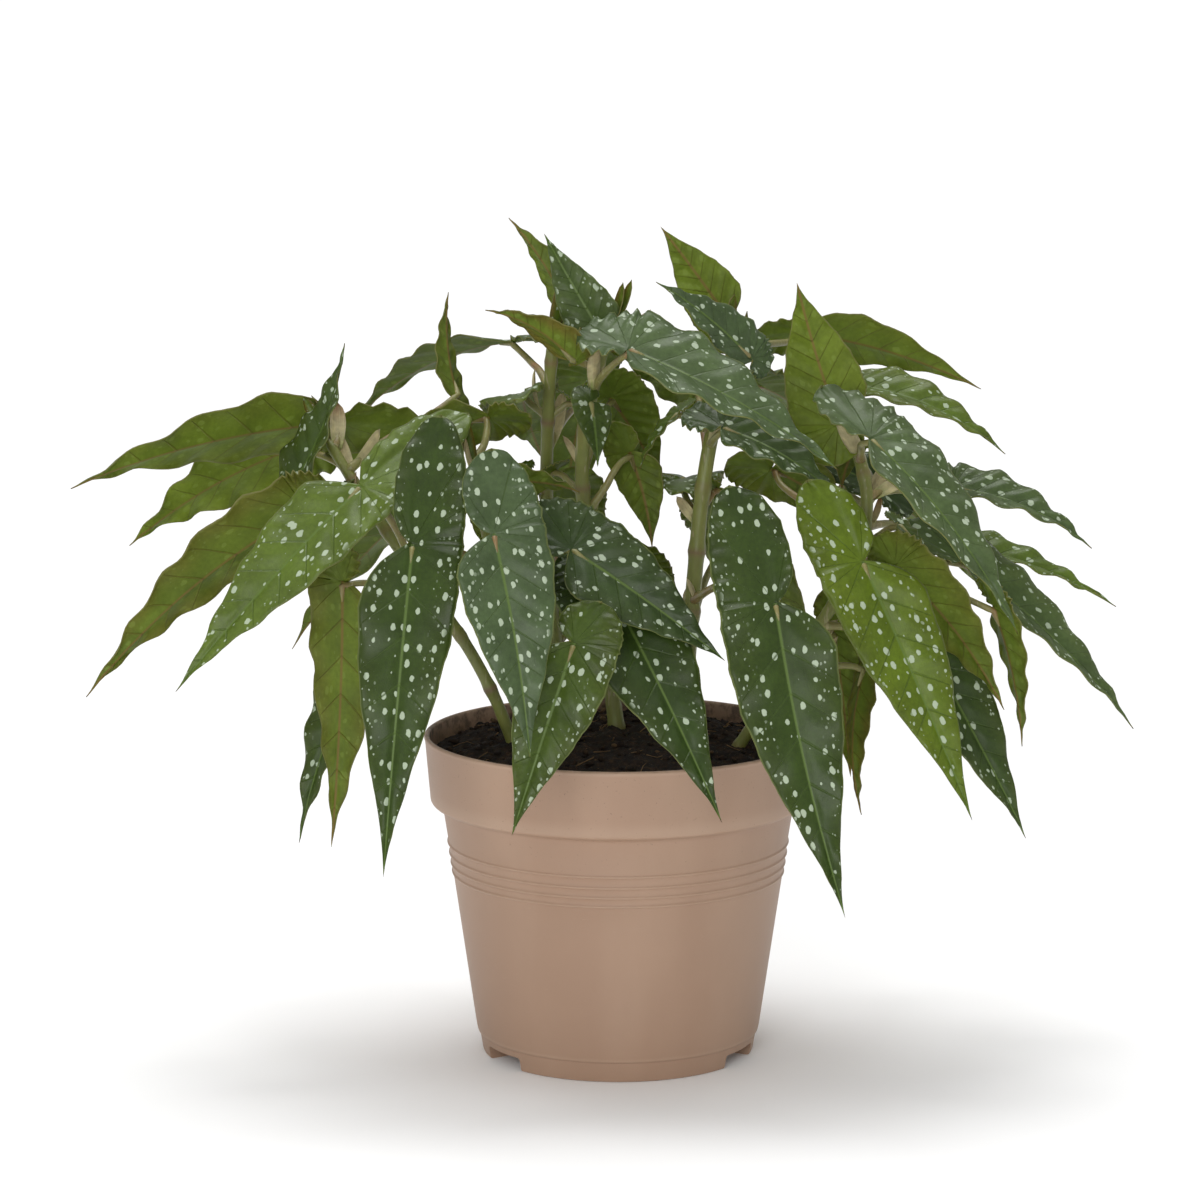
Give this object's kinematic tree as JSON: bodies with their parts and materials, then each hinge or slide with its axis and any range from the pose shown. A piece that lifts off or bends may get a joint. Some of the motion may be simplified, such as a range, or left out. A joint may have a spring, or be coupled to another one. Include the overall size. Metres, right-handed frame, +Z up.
{
  "type": "potted begonia",
  "caption": "Potted angel-wing begonia: spotted, pointed wing-shaped leaves on jointed canes growing from dark soil in a plain tapered nursery pot with a banded rim",
  "frame": {"origin": "centre of the pot's underside, on the surface the pot stands on", "axes": "+Z up; -Y is the front; X runs along the plant's widest spread"},
  "size_m": [0.458, 0.282, 0.364],
  "materials": {
    "pot": "moulded taupe plastic, satin",
    "soil": "damp peaty potting soil, crumbly",
    "cane": "smooth jointed cane, green flecked with brown",
    "leaf": "dark green with pale spots, soft sheen; yellow-green underneath",
    "stalk": "smooth green, flushed red-brown",
    "stipule": "dry papery pale tan"
  },
  "bodies": {
    "root": {"pot": "pot", "soil": "soil", "cane_left": "cane", "cane_front_left": "cane", "cane_centre_left": "cane", "cane_centre": "cane", "cane_centre_right": "cane", "cane_right": "cane", "leaf_far_left_high": "leaf", "leaf_far_left_broad": "leaf", "leaf_left_upright": "leaf", "leaf_far_left_low": "leaf", "leaf_left_pale": "leaf", "leaf_left_hanging": "leaf", "leaf_left_shaded": "leaf", "leaf_front_left": "leaf", "leaf_front_middle": "leaf", "leaf_front_low": "leaf", "leaf_middle_slanting": "leaf", "leaf_middle_drooping": "leaf", "leaf_front_right": "leaf", "leaf_right_pale": "leaf", "leaf_right_long": "leaf", "leaf_far_right_low": "leaf", "leaf_right_upright": "leaf", "leaf_right_high": "leaf", "leaf_right_curled": "leaf", "leaf_right_under": "leaf", "leaf_far_right_narrow": "leaf", "leaf_far_right_high": "leaf", "leaf_far_right_thin": "leaf", "leaf_right_dark": "leaf", "leaf_right_olive": "leaf", "leaf_right_thin_tail": "leaf", "leaf_top_spotted": "leaf", "leaf_top_brown": "leaf", "leaf_top_pointed": "leaf", "leaf_top_silver": "leaf", "leaf_top_blue": "leaf", "leaf_top_bright": "leaf", "leaf_under_silver": "leaf", "leaf_round_back": "leaf", "leaf_thin_back": "leaf", "leaf_inner_olive": "leaf", "leaf_inner_green": "leaf", "leaf_middle_grey": "leaf", "leaf_middle_hanging": "leaf", "leaf_back_pale": "leaf", "leaf_back_round": "leaf", "leaf_inner_right": "leaf", "leaf_inner_dark": "leaf", "leaf_back_left_high": "leaf", "leaf_back_left_low": "leaf", "leaf_back_middle_high": "leaf", "leaf_back_middle_low": "leaf", "leaf_back_right_high": "leaf", "leaf_back_right_low": "leaf", "leaf_back_far_right": "leaf", "leaf_back_low": "leaf"}
  },
  "joints": []
}
